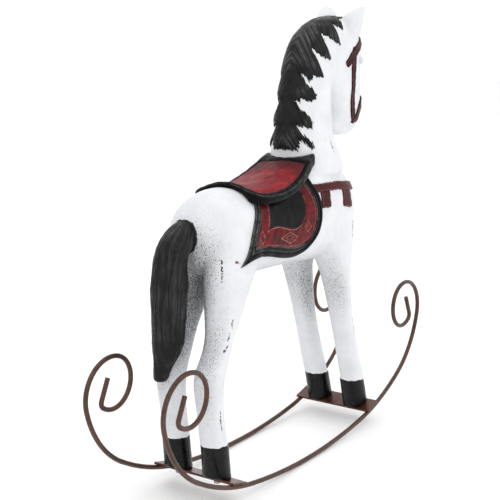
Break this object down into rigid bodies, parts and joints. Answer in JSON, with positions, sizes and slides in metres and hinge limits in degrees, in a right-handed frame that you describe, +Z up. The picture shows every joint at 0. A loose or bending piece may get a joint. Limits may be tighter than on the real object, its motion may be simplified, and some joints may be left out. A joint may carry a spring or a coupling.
{
  "type": "rocking horse ornament",
  "caption": "Carved and painted wooden horse with saddle, bridle, mane and tail, standing on two cross plates joined to bent-rod rockers with scrolled ends",
  "frame": {"origin": "on the floor, under the middle of the rockers", "axes": "+X the way the horse faces, +Y to the horse's left, +Z up"},
  "size_m": [0.3342, 0.0646, 0.3136],
  "materials": {
    "white_paint": "carved wood under worn white paint, satin",
    "rocker_brown": "bronze brown paint, semi gloss",
    "plate_brown": "red brown paint, semi gloss",
    "screw_steel": "plain steel",
    "hoof_black": "carved wood under black paint, satin",
    "hair_black": "grooved wood under black paint with lighter brush marks",
    "saddle_red": "carved wood under dark red paint with brushed black shading",
    "saddle_black": "carved wood under black paint, semi gloss",
    "flap_red": "carved wood under bright red paint, semi gloss",
    "strap_red": "carved wood under dark red paint",
    "bridle_red": "carved wood under dark red paint",
    "eye_black": "gloss black",
    "bare_wood": "bare wood"
  },
  "bodies": {
    "root": {"rocker_rod_left": "rocker_brown", "rocker_rod_right": "rocker_brown", "cross_plate_front": "plate_brown", "cross_plate_rear": "plate_brown", "weld_front_left": "rocker_brown", "weld_front_right": "rocker_brown", "weld_rear_left": "rocker_brown", "weld_rear_right": "rocker_brown", "hoof_screw_front_left": "screw_steel", "hoof_screw_front_right": "screw_steel", "hoof_screw_rear_left": "screw_steel", "hoof_screw_rear_right": "screw_steel", "hoof_front_left": "hoof_black", "hoof_front_right": "hoof_black", "hoof_rear_left": "hoof_black", "hoof_rear_right": "hoof_black", "foreleg_left": "white_paint", "foreleg_right": "white_paint", "hind_leg_left": "white_paint", "hind_leg_right": "white_paint", "torso": "white_paint", "neck": "white_paint", "head": "white_paint", "ear_left": "white_paint", "ear_right": "white_paint", "tail": "hair_black", "saddle_seat": "saddle_red", "saddle_rim": "saddle_black", "flap_border_left": "saddle_black", "flap_border_right": "saddle_black", "flap_red_left": "flap_red", "flap_red_right": "flap_red", "flap_panel_left": "saddle_black", "flap_panel_right": "saddle_black", "breast_strap": "strap_red", "strap_tab_mid_left": "strap_red", "strap_tab_mid_right": "strap_red", "strap_tab_front_left": "strap_red", "strap_tab_front_right": "strap_red", "browband": "bridle_red", "cheek_strap_left": "bridle_red", "cheek_strap_right": "bridle_red", "noseband": "bridle_red", "mane": "hair_black", "eye_left": "eye_black", "eye_right": "eye_black", "dowel_foreleg_left": "bare_wood", "dowel_foreleg_right": "bare_wood", "dowel_hind_left": "bare_wood", "dowel_hind_right": "bare_wood", "dowel_neck": "bare_wood", "dowel_head": "bare_wood", "dowel_tail": "bare_wood"}
  },
  "joints": []
}
